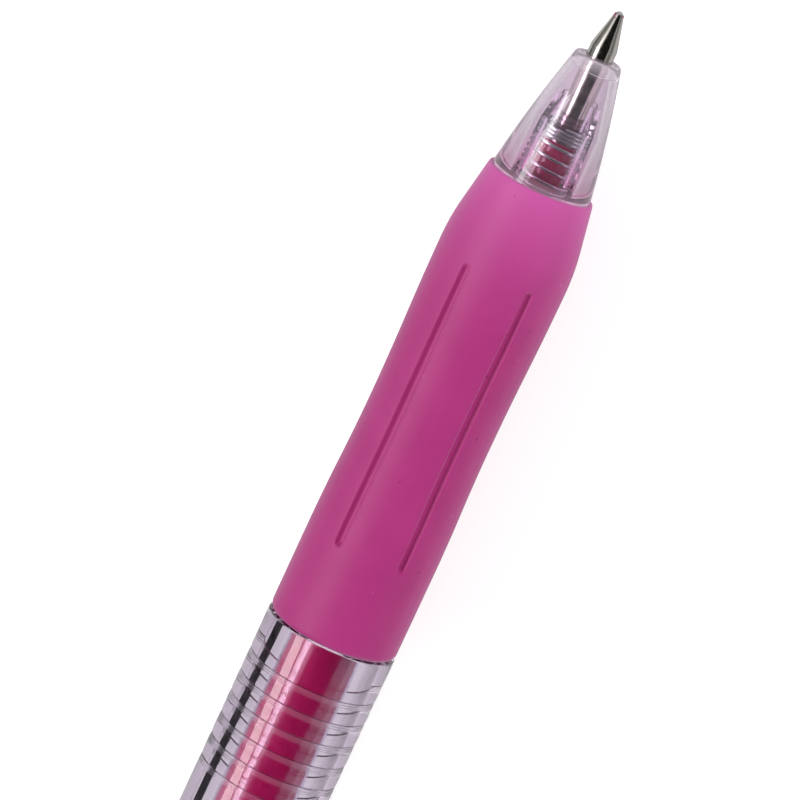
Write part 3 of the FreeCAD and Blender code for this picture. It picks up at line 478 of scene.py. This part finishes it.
def shade_rings(material, lines, line_half, band, inner):
    """Painted shade in the fine creases turned round the barrel's outside, and tool marks beside
    each.
    """
    tree = material.node_tree
    shader = tree.nodes["Principled BSDF"]
    place = pen_space(tree)
    x = station(tree, place)
    crease_shade_mask = marks = None
    for crease in lines:
        off = math_node(tree, "ABSOLUTE", math_node(tree, "SUBTRACT", x, crease))
        line = spread(tree, off, 1, 0, line_half * 0.6, line_half)
        off = math_node(tree, "ABSOLUTE", math_node(tree, "SUBTRACT", x, crease + band / 2))
        mark = spread(tree, off, 1, 0, band / 2 - 0.05, band / 2 + 0.05)
        crease_shade_mask = line if crease_shade_mask is None else math_node(tree, "MAXIMUM", crease_shade_mask, line)
        marks = mark if marks is None else math_node(tree, "MAXIMUM", marks, mark)
    outside = spread(tree, axis_distance(tree, place), 0, 1, inner, inner + 0.2)
    crease_shade_mask = math_node(tree, "MULTIPLY", crease_shade_mask, outside)
    marks = math_node(tree, "MULTIPLY", marks, outside)
    haze = math_node(tree, "MULTIPLY", marks, 0.06)
    tree.links.new(math_node(tree, "SUBTRACT", 1.0, haze), shader.inputs["Transmission Weight"])
    # painted shade: the creases are darkened in the barrel's colour
    base = source_of(shader, "Base Color")
    painted_crease_shade = blend_colors(tree, crease_shade_mask, base, (0.20, 0.12, 0.19))
    tree.links.new(painted_crease_shade, shader.inputs["Base Color"])
    dull = math_node(tree, "MULTIPLY", marks, 0.12)
    rough = math_node(tree, "ADD", source_of(shader, "Roughness"), dull)
    tree.links.new(rough, shader.inputs["Roughness"])
    waves = math_node(tree, "SINE", math_node(tree, "MULTIPLY", x, 2 * math.pi / TOOL_PITCH))
    second = add(tree, "ShaderNodeBump", Strength=1.0, Distance=TOOL_DEPTH * MM)
    tree.links.new(math_node(tree, "MULTIPLY", waves, marks), second.inputs["Height"])
    tree.links.new(source_of(shader, "Normal"), second.inputs["Normal"])
    tree.links.new(second.outputs["Normal"], shader.inputs["Normal"])


def cloud_edges(material, straight, grazing, slope, offset, ends):
    """Slightly milky plastic: cloudier at the edges of its outside and at its two ends.

    straight and grazing are what passes through, seen square on and at a flat angle. The
    outside lies beyond the cone whose radius is offset + slope * u, in mm. ends are the
    stations of the front and the rear. Towards the rear a painted reflection of the pink grip
    tints the plastic."""
    tree = material.node_tree
    place = pen_space(tree)
    x = station(tree, place)
    cone = math_node(tree, "ADD", math_node(tree, "MULTIPLY", x, slope), offset)
    outside = math_node(tree, "GREATER_THAN", axis_distance(tree, place), cone)
    facing_away = add(tree, "ShaderNodeLayerWeight", Blend=0.5).outputs["Facing"]
    cloud = spread(tree, facing_away, 1 - straight, 1 - grazing, 0.35, 0.95)
    front_haze = spread(tree, x, 0.4, 0, ends[0], ends[0] + 1.6)
    rear_haze = spread(tree, x, 0, 0.3, ends[1] - 1.2, ends[1])
    haze = math_node(tree, "MAXIMUM", front_haze, rear_haze)
    cloud = math_node(tree, "MAXIMUM", haze, cloud)
    level = math_node(tree, "SUBTRACT", 1.0, math_node(tree, "MULTIPLY", cloud, outside))
    shader = tree.nodes["Principled BSDF"]
    tree.links.new(level, shader.inputs["Transmission Weight"])
    # painted reflection: the grip's pink, painted into the colour towards the nose's rear
    glow = spread(tree, x, 0, 1, ends[1] - 4.5, ends[1])
    painted_grip_reflection = blend_colors(tree, glow, source_of(shader, "Base Color"), (0.95, 0.62, 0.84))
    tree.links.new(painted_grip_reflection, shader.inputs["Base Color"])


TOOL_PITCH, TOOL_DEPTH = 0.2, 0.006
RING_FIRST, RING_PITCH, RINGS, RING_BAND = grip_rear + 3.8, 2.03, 6, 0.55
RING_LINES = [RING_FIRST + RING_PITCH * k for k in range(RINGS)]
shade_rings(barrel_plastic, RING_LINES, line_half=0.07, band=RING_BAND, inner=5.0)

NOSE_FACE, NOSE_LIP, NOSE_REAR, NOSE_CURVE = 2.0, 0.35, 4.35, 110
NOSE_SLOPE = 0.207  # how fast the nose's radius grows
skin = NOSE_FACE - 0.3 - NOSE_SLOPE * nose_front
cloud_edges(nose_plastic, 0.96, 0.5, NOSE_SLOPE, skin, (nose_front, grip_front))
rubber = grip_rubber()
metal = point_metal()

FINISH = {
    "writing_ball": carbide,
    "tip_point": metal,
    "tip_holder": holder_plastic,
    "ink_tube": tube_plastic,
    "ink_column": ink,
    "ink_follower": grease,
    "refill_tail_plug": white,
    "return_spring": steel,
    "nose_cone": nose_plastic,
    "grip_sleeve": rubber,
    "barrel": barrel_plastic,
    "clip_housing": pink,
    "cam_sleeve": white,
    "cam_rotor": white,
    "cam_plunger": white,
    "push_button": pink,
    "button_insert": deep,
    "clip_lever": pink,
    "clip_pin": steel,
    "clip_spring": steel,
}
for node, material in FINISH.items():
    mesh = nodes[node].data
    mesh.materials.clear()
    mesh.materials.append(material)


def dress(obj, body, material, replaced):
    """Gives a piece its material and the body it rides on, and hides the CAD node it stands for.
    """
    obj.data.materials.append(material)
    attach(obj, body)
    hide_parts(replaced)


# ---------------------------------------------------------------- metal point

SHOULDER = 3.2  # apex to the cone's rear edge
SHANK, SHANK_BORE = 1.15, 0.6
point_rear = holder_front + 2.5
point = lathe(
    "metal_point",
    rounded(
        [
            (0.42, 0.0),
            (0.42, 0.30, 0.03),
            (0.2, 0.36, 0.02),
            (0.22, 0.40, 0.02),
            (SHOULDER, SHANK, 0.05),
            (point_rear, SHANK, 0.05),
            (point_rear, SHANK_BORE),
            (1.4, 0.0),
        ]
    ),
    sharp=60,
)
dress(point, "refill", metal, "tip_point")

# ---------------------------------------------------------------- nose

NOSE_HOLE, NOSE_LAND = 1.25, 1.2
SPIGOT, SPIGOT_BORE, SPIGOT_LENGTH = 3.55, 2.8, 4.2
past_lip = 0.36  # where the long curve starts behind the rounded lip
curve_start = (nose_front + past_lip, NOSE_FACE + past_lip * NOSE_SLOPE + 0.02)
nose_outline = rounded(
    [
        (nose_front, NOSE_HOLE, 0.08),
        (nose_front, NOSE_FACE, NOSE_LIP),
        *[(p.x, p.y) for p in arc(curve_start, (grip_front, NOSE_REAR), NOSE_CURVE)],
        (grip_front, SPIGOT),
        (grip_front + SPIGOT_LENGTH, SPIGOT, 0.05),
        (grip_front + SPIGOT_LENGTH, SPIGOT_BORE),
        (grip_front, SPIGOT_BORE),
        (nose_front + 6, 2.7),
        (nose_front + NOSE_LAND, 1.5, 0.1),
        (nose_front + NOSE_LAND, NOSE_HOLE),
    ]
)
nose = lathe("nose_shell", nose_outline, 256)

RIBS, RIB_TURN, RIB_HALF = 4, 45, 0.25
RIB_FRONT, RIB_STEP, RIB_REAR = 3.7, 6.0, 10.6  # behind the nose's front face
BESIDE_HOLDER, BESIDE_SPRING = 1.67, 2.475
rib_outline = [
    (nose_front + RIB_FRONT, BESIDE_HOLDER),
    (nose_front + RIB_FRONT, 2.35),
    (nose_front + RIB_STEP, 2.9),
    (nose_front + RIB_REAR, 2.9),
    (nose_front + RIB_REAR, BESIDE_SPRING),
    (nose_front + RIB_STEP + 0.02, BESIDE_SPRING),
    (nose_front + RIB_STEP + 0.02, BESIDE_HOLDER),
]
for number in range(RIBS):
    turn = RIB_TURN + 360 / RIBS * number
    side = at(0, 1, turn + 90) - at(0)
    points = []
    for sign in (-1, 1):
        points += [at(u, r, turn) + side * RIB_HALF * sign for u, r in rib_outline]
    size = len(rib_outline)
    faces = [tuple(range(size))[::-1], tuple(range(size, 2 * size))]
    faces += [(i, (i + 1) % size, size + (i + 1) % size, size + i) for i in range(size)]
    rib = mesh_object(f"rib_{number}", points, faces, 30)
    union = nose.modifiers.new("rib", "BOOLEAN")
    union.operation = "UNION"
    union.solver = "EXACT"
    union.object = rib
    bpy.context.view_layer.update()
    joined = nose.evaluated_get(bpy.context.evaluated_depsgraph_get())
    whole = bpy.data.meshes.new_from_object(joined)
    nose.modifiers.clear()
    nose.data = whole
    bpy.data.objects.remove(rib)
nose.data.shade_smooth()
nose.data.set_sharp_from_angle(angle=math.radians(35))
dress(nose, "casing", nose_plastic, "nose_cone")

# ---------------------------------------------------------------- soft grip


GRIP_LENGTH, GRIP_BORE = 42.0, 4.22
GRIP_STATIONS = [(0, 4.62), (4.25, 5.36), (7.6, 5.63), (22, 5.43), (34, 5.65), (42, 5.65)]
RIM, FLARE, CREST = GRIP_STATIONS[:3]
GRIP_REAR = GRIP_STATIONS[-1][1]
EDGE = 0.65  # rounding of the rear edge


def grip_radius(u):
    """The sleeve's outline, from its front rim: a straight flare, a crest and a waist."""
    if u < FLARE[0]:
        return RIM[1] + (FLARE[1] - RIM[1]) * u / FLARE[0]
    if u < CREST[0]:
        reach = (CREST[0] - u) / (CREST[0] - FLARE[0])
        return CREST[1] - (CREST[1] - FLARE[1]) * reach**2
    for (u0, r0), (u1, r1) in zip(GRIP_STATIONS[2:], GRIP_STATIONS[3:]):
        if u <= u1:
            t = (u - u0) / (u1 - u0)
            swell = 2 * t * t if t < 0.5 else 1 - 2 * (1 - t) ** 2
            return r0 + (r1 - r0) * swell
    return GRIP_REAR


GROOVES, GROOVE_TURN = 6, 32.2
GROOVE_FRONT, GROOVE_LENGTH, GROOVE_DEPTH = 7.85, 25.8, 0.4
GROOVE_HALF, GROOVE_SWELL = 0.42, 0.13  # half its width at the ends, and the middle's excess
GROOVE_END = 0.2  # how far it runs out beyond each end


def groove_depth(u, sideways):
    """Depth of a groove u mm behind the rim and sideways mm from its middle line."""
    ends = min(u - GROOVE_FRONT, GROOVE_FRONT + GROOVE_LENGTH - u) + GROOVE_END
    if ends < 0:
        return 0.0
    t = min(max((u - GROOVE_FRONT) / GROOVE_LENGTH, 0), 1)
    half = GROOVE_HALF + GROOVE_SWELL * math.sin(math.pi * t)
    if ends < half:
        half *= math.sqrt(1 - (1 - ends / half) ** 2)
    s = abs(sideways) / (half + 1e-9)
    if s > 1:
        return 0.0
    profile = (1 + math.cos(math.pi * s**1.8)) / 2
    return GROOVE_DEPTH * min(1.0, ends / 0.4) * profile


# The mesh is finer round the grooves: across them, and along at both of their ends.
between = (9.5, 11.5, 14.5, 18, 22, 26)
pitch = 360 / GROOVES
angles = []
for k in range(GROOVES):
    middle = GROOVE_TURN + pitch * k
    angles += [middle - a for a in reversed(between)]
    angles += [middle + a * 0.5 for a in range(-16, 17)]
    angles += [middle + a for a in between]
rows = []
for start, step, count in (
    (0.28, 0.28, 26),
    (7.5, 0.06, 16),
    (8.46, 0.2, 124),
    (33.26, 0.06, 14),
    (34.1, 0.25, 28),
):
    rows += [start + step * k for k in range(count)]
front_lip = [
    (0.1, GRIP_BORE),
    (0.1, 3.62),
    (0.03, 3.62),
    (0.03, 4.37),
    (0.0, 4.39),
    (0.0, 4.50),
    (0.04, 4.60),
]
rear_edge = []
for degrees in range(0, 91, 9):
    a = math.radians(degrees)
    rear_edge.append(
        (GRIP_LENGTH - EDGE + EDGE * math.sin(a), GRIP_REAR - EDGE + EDGE * math.cos(a))
    )
rear_edge.append((GRIP_LENGTH, GRIP_BORE))

points, faces = [], []
for u, r in front_lip:
    points += [at(grip_front + u, r, a) for a in angles]
for u in rows:
    for a in angles:
        middle = round((a - GROOVE_TURN) / pitch) * pitch + GROOVE_TURN
        sideways = math.radians(a - middle) * 5.5
        r = grip_radius(u) - groove_depth(u, sideways)
        points.append(at(grip_front + u, r, a))
for u, r in rear_edge:
    points += [at(grip_front + u, r, a) for a in angles]
size = len(angles)
total = len(points) // size
for i in range(total):
    j = (i + 1) % total
    for k in range(size):
        m = (k + 1) % size
        faces.append((i * size + k, i * size + m, j * size + m, j * size + k))
grip = mesh_object("soft_grip", points, faces, 50)
dress(grip, "casing", rubber, "grip_sleeve")

# ---------------------------------------------------------------- clear barrel

BARREL, BARREL_BORE, NECK_RADIUS, NECK_BORE = 5.69, 3.2, 4.2, 3.57
REAR_BORE, REAR_RADIUS, TAIL_RADIUS = 4.5, 5.5, 4.95
RING_DEPTH = 0.1
neck_front = grip_front + 0.12
spigot_end = grip_front + 4.35
TAPER_FRONT, TAPER_REAR = 86.0, 113.0
ring_stations = []
for start in RING_LINES:
    ring_stations += [
        (start - 0.06, BARREL, 0.02),
        (start, BARREL - RING_DEPTH, 0.02),
        (start + 0.06, BARREL - 0.06, 0.02),
        (start + RING_BAND, BARREL, 0.15),
    ]
barrel = lathe(
    "clear_barrel",
    rounded(
        [
            (neck_front, NECK_BORE),
            (neck_front, NECK_RADIUS),
            (grip_rear, NECK_RADIUS),
            (grip_rear, BARREL, 0.12),
            *ring_stations,
            (TAPER_FRONT, BARREL),
            (TAPER_REAR, REAR_RADIUS, 0.05),
            (TAPER_REAR, TAIL_RADIUS),
            (barrel_end, TAIL_RADIUS, 0.1),
            (barrel_end, REAR_BORE),
            (104.0, REAR_BORE, 0.3),
            (102.0, BARREL_BORE, 0.3),
            (spigot_end, BARREL_BORE),
            (spigot_end, NECK_BORE),
        ]
    ),
    320,
    sharp=25,
)
dress(barrel, "casing", barrel_plastic, "barrel")

# ---------------------------------------------------------------- refill

HOLDER, HOLDER_GROOVE, HOLDER_SHOULDER = 1.55, 1.4, 2.6
SHANK_HOLE, INK_WAY, HOLDER_PLUG = 1.17, 0.97, 2.48
shoulder_front = holder_front + 7.5
plug_rear = tube_front + 4.5
holder_floor = holder_front + 2.52
holder_grooves = []
for start in (0.25, 0.75):
    holder_grooves += [
        (holder_front + start, HOLDER, 0.04),
        (holder_front + start + 0.02, HOLDER_GROOVE, 0.03),
        (holder_front + start + 0.23, HOLDER_GROOVE, 0.03),
        (holder_front + start + 0.25, HOLDER, 0.04),
    ]
holder = lathe(
    "clear_holder",
    rounded(
        [
            (holder_front, SHANK_HOLE),
            (holder_front, HOLDER, 0.06),
            *holder_grooves,
            (shoulder_front, HOLDER, 0.1),
            (shoulder_front, HOLDER_SHOULDER, 0.1),
            (tube_front, HOLDER_SHOULDER, 0.1),
            (tube_front, HOLDER_PLUG),
            (plug_rear, HOLDER_PLUG, 0.1),
            (plug_rear, INK_WAY),
            (holder_floor, INK_WAY),
            (holder_floor, SHANK_HOLE),
        ]
    ),
    128,
    sharp=35,
)
dress(holder, "refill", holder_plastic, "tip_holder")

TUBE, TUBE_BORE = 3.0, 2.5
tube_rear = rear("ink_tube")
tube = lathe(
    "soft_tube",
    rounded(
        [
            (tube_front, TUBE_BORE),
            (tube_front, TUBE, 0.1),
            (tube_rear, TUBE, 0.1),
            (tube_rear, TUBE_BORE),
        ]
    ),
    192,
    sharp=35,
)
dress(tube, "refill", tube_plastic, "ink_tube")

# The ink reaches a little into the walls round it, so that no air shows between them.
WETTED = 0.02
INK_FRONT = 2.1
ink_rear = front("ink_follower")
column = lathe(
    "ink_fill",
    rounded(
        [
            (INK_FRONT, 0.0),
            (INK_FRONT, SHANK_BORE - WETTED),
            (holder_floor + WETTED, SHANK_BORE - WETTED),
            (holder_floor + WETTED, INK_WAY + WETTED),
            (plug_rear + WETTED, INK_WAY + WETTED),
            (plug_rear + WETTED, TUBE_BORE + WETTED),
            (ink_rear, TUBE_BORE + WETTED),
            (ink_rear, 0.0),
        ]
    ),
    128,
    closed=False,
    sharp=35,
)
dress(column, "refill", ink, "ink_column")

# ---------------------------------------------------------------- springs

SPRING_RADIUS = 2.375
CLOSED_PITCH, CLOSED_TURNS, OPEN_TURNS = 0.33, 3.5, 4.0
spring_front = front("return_spring") + WIRE_RADIUS
spring_room = rear("return_spring") - WIRE_RADIUS - spring_front
open_pitch = (spring_room - 2 * CLOSED_PITCH * CLOSED_TURNS) / OPEN_TURNS
closed = (CLOSED_PITCH, CLOSED_TURNS)
stretches = [closed, (open_pitch, OPEN_TURNS), closed]


def along_pen(cross, sideways, reach):
    return at(spring_front + reach) + Vector((0, sideways * MM, cross * MM))


path = coil_points(along_pen, SPRING_RADIUS - WIRE_RADIUS, stretches)
spring = tube_along("coil_return", path, WIRE_RADIUS * MM)
spring.data.materials.append(steel)
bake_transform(spring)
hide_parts("return_spring")

# The clip's spring stands on the housing. In the pen it gets shorter as the clip opens; here it
# is built at one length.
CLIP_TURN = 114.62  # the clip's side of the pen, as an angle for at()
CLIP_SPRING_RADIUS, CLIP_SPRING_TURNS = 1.1, 5
clip_spring_u = (front("clip_spring") + rear("clip_spring")) / 2
CLIP_SPRING_FOOT, CLIP_SPRING_HEAD = 5.021, 8.229  # from the pen's axis


def out_to_clip(lengthwise, sideways, reach):
    a = math.radians(CLIP_TURN)
    aside = Vector((0, math.cos(a), -math.sin(a))) * sideways * MM
    out = CLIP_SPRING_FOOT + WIRE_RADIUS + reach
    return at(clip_spring_u + lengthwise, out, CLIP_TURN) + aside


clip_room = CLIP_SPRING_HEAD - CLIP_SPRING_FOOT - 2 * WIRE_RADIUS
clip_stretches = [(clip_room / CLIP_SPRING_TURNS, CLIP_SPRING_TURNS)]
path = coil_points(out_to_clip, CLIP_SPRING_RADIUS - WIRE_RADIUS, clip_stretches)
clip_coil = tube_along("coil_clip", path, WIRE_RADIUS * MM)
clip_coil.data.materials.append(steel)
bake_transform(clip_coil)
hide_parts("clip_spring")

# ---------------------------------------------------------------- floor and backdrop


def rectangle(name, width, height):
    x, y = width / 2, height / 2
    return mesh_object(name, [(-x, -y, 0), (x, -y, 0), (x, y, 0), (-x, y, 0)], [(0, 1, 2, 3)])


floor = rectangle("floor", 6, 6)
floor_material = bpy.data.materials.new("floor")
floor_material.use_nodes = True
tree = floor_material.node_tree
tree.nodes.clear()


def seen_directly(tree, by_camera, in_glass):
    """How strongly the white backdrop shows to the camera, and in mirrors and through glass."""
    path = add(tree, "ShaderNodeLightPath").outputs
    either = math_node(tree, "MAXIMUM", path["Is Glossy Ray"], path["Is Transmission Ray"])
    second = spread(tree, either, 0, in_glass, 0, 1)
    first = spread(tree, path["Is Camera Ray"], 0, by_camera, 0, 1)
    return math_node(tree, "MAXIMUM", first, second)


# The floor's own grey and its glow add up to white where nothing shades it.
FLOOR_GREY, FLOOR_GLOW, FLOOR_GLOW_IN_GLASS = 0.6, 0.68, 0.1
paper = add(tree, "ShaderNodeBsdfDiffuse", Color=(FLOOR_GREY, FLOOR_GREY, FLOOR_GREY, 1))
glow = add(tree, "ShaderNodeEmission", Color=(1, 1, 1, 1))
tree.links.new(seen_directly(tree, FLOOR_GLOW, FLOOR_GLOW_IN_GLASS), glow.inputs["Strength"])
both = add(tree, "ShaderNodeAddShader")
tree.links.new(paper.outputs[0], both.inputs[0])
tree.links.new(glow.outputs[0], both.inputs[1])
output = add(tree, "ShaderNodeOutputMaterial")
tree.links.new(both.outputs[0], output.inputs["Surface"])
floor.data.materials.append(floor_material)

world = bpy.data.worlds.new("world")
bpy.context.scene.world = world
world.use_nodes = True
tree = world.node_tree
backdrop = tree.nodes["Background"]
backdrop.inputs["Color"].default_value = (1, 1, 1, 1)
ROOM = 0.45  # how strongly the room lights the object
level = math_node(tree, "MAXIMUM", ROOM, seen_directly(tree, 1.0, 1.0))
tree.links.new(level, backdrop.inputs["Strength"])

# ---------------------------------------------------------------- light


def facing(place, target):
    """Where a lamp or card stands, turned to the target."""
    z = (Vector(place) - Vector(target)).normalized()
    y = z.cross(Vector((1, 0, 0))).normalized()
    x = y.cross(z)
    return Matrix.Translation(place) @ Matrix((x, y, z)).transposed().to_4x4()


def softbox(name, place, target, size, power):
    data = bpy.data.lights.new(name, "AREA")
    data.shape = "RECTANGLE"
    data.size, data.size_y = size
    data.energy = power
    obj = bpy.data.objects.new(name, data)
    obj.matrix_world = facing(place, target)
    obj.visible_camera = False
    collection.objects.link(obj)
    return obj


def card(name, place, target, size, level, in_glass=False, in_mirrors=True):
    """A card that only mirrors or glass can see: it gives them their darker bands."""
    obj = rectangle(name, *size)
    obj.matrix_world = facing(place, target)
    obj.visible_camera = False
    obj.visible_diffuse = False
    obj.visible_shadow = False
    obj.visible_transmission = in_glass
    obj.visible_glossy = in_mirrors
    material = bpy.data.materials.new(name)
    material.use_nodes = True
    tree = material.node_tree
    tree.nodes.clear()
    tone = add(tree, "ShaderNodeEmission", Color=(level, level, level, 1), Strength=1.0)
    output = add(tree, "ShaderNodeOutputMaterial")
    tree.links.new(tone.outputs[0], output.inputs["Surface"])
    obj.data.materials.append(material)
    return obj


middle = at(35)


def around(angle, reach):
    """A place beside the pen, angle degrees from straight up towards +Y."""
    a = math.radians(angle)
    return middle + Vector((0, reach * math.sin(a), reach * math.cos(a)))


softbox("key", around(-45, 1.0) - AHEAD * 0.2, middle, (1.0, 0.26), 6.4)
fill = softbox("fill", around(68, 0.9) + AHEAD * 0.4, middle, (0.8, 0.6), 5.0)
fill.visible_glossy = False
fill.visible_transmission = False
card("overhead_card", around(12, 1.1), middle, (2.4, 1.75), 0.01, True)
card("side_card_right", around(75, 1.3), middle, (3.0, 0.9), 0.22)
card("side_card_left", around(-74, 1.3), middle, (3.0, 0.86), 0.3)
# painted shade: a dark sheet on the floor to the left, which mirrors show as shaded floor
floor_left = at(30, 0) - Vector((0, 0.31, axis_z - 0.0005))
DOWN = Vector((0, 0, -1))
card("painted_floor_shade_card", floor_left, floor_left + DOWN, (1.2, 0.58), 0.08)

# One narrow dark card lies on the floor beside the barrel: a painted shadow that only glass
# sees. Seen through the barrel's edge, it is a dark band.
EDGE_CARD_LEAD = 2.2  # how far behind the grip it starts, in mm
edge_front = grip_rear + EDGE_CARD_LEAD
place = at((edge_front + barrel_end) / 2) - Vector((0, 0.0067, axis_z - 0.0002))
size = ((barrel_end - edge_front) * MM, 0.005)
card("painted_shadow_card", place, place + DOWN, size, 0.0, True, False)
